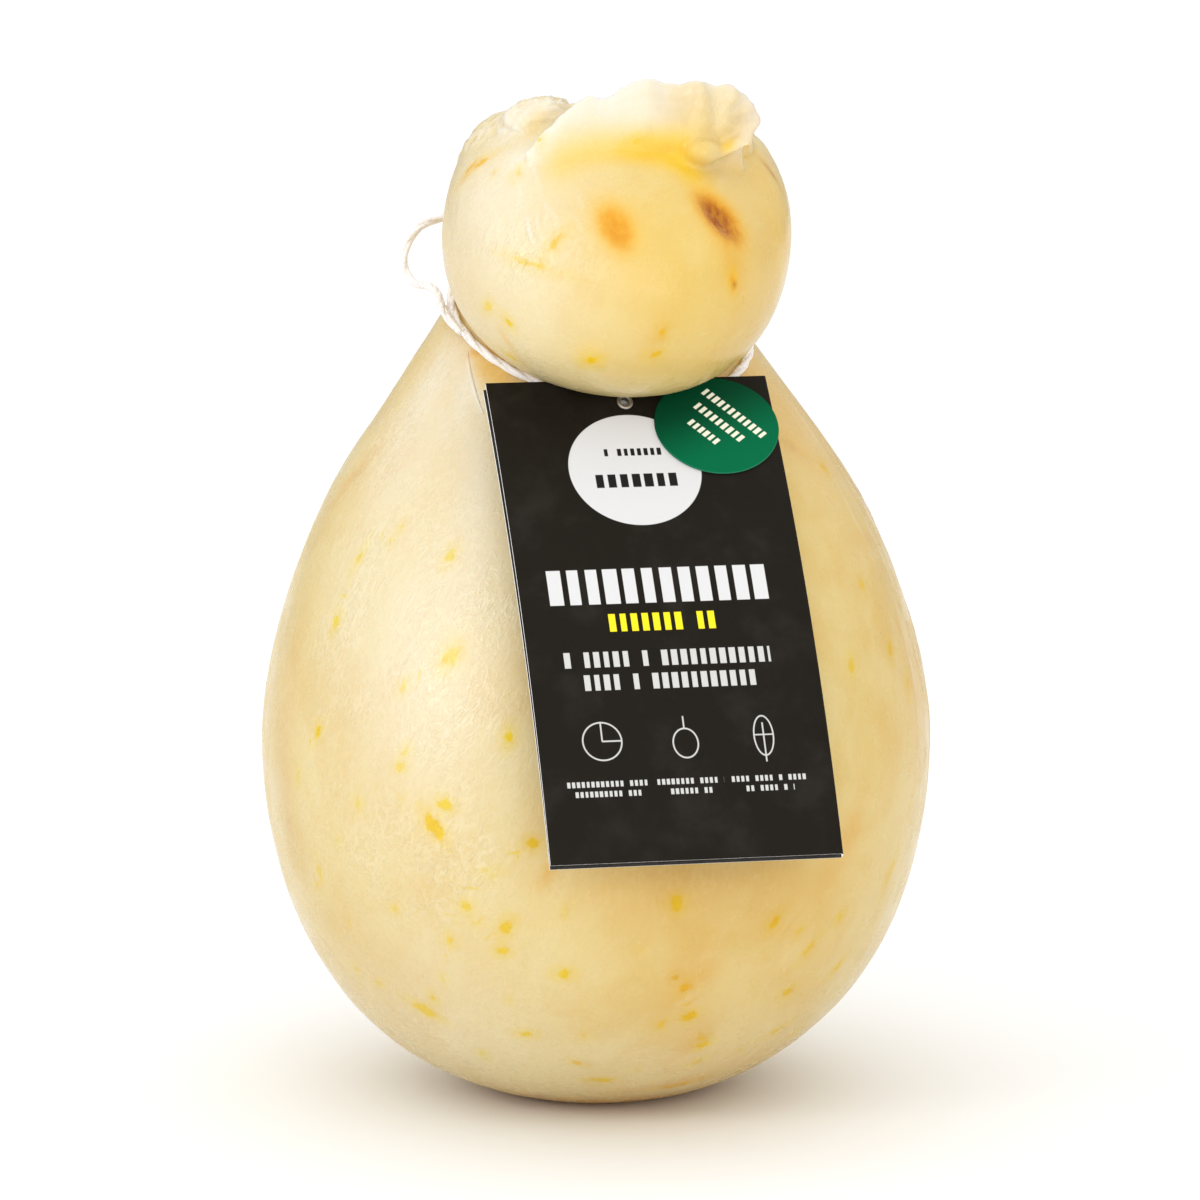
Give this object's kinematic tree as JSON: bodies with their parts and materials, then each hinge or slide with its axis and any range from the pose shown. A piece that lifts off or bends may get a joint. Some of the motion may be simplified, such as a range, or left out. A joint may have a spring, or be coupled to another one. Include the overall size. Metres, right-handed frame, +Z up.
{
  "type": "tied pear-shaped cheese",
  "caption": "Pear-shaped stretched-curd cheese with a flopped head and torn closure, tied round the neck with thin twine, with a folded dark card tag tucked under its chin.",
  "frame": {"origin": "middle of the small flat spot that the cheese stands on, at floor level", "axes": "+Z up along the cheese from its underside to its torn closure; the head flops towards -Y, where the tag hangs; the twine's free loop is on -X"},
  "size_m": [0.1508, 0.171, 0.2298],
  "materials": {
    "rind": "soft waxy cheese rind, faint sheen",
    "twine": "twisted off-white thread",
    "card": "dark printed card, satin",
    "sticker": "satin paper sticker",
    "eyelet": "dull pale metal"
  },
  "bodies": {
    "root": {"cheese": "rind", "twine_tie": "twine", "twine_knot": "twine", "twine_loop": "twine", "tag_card": "card", "sticker": "sticker", "eyelet": "eyelet"}
  },
  "joints": []
}
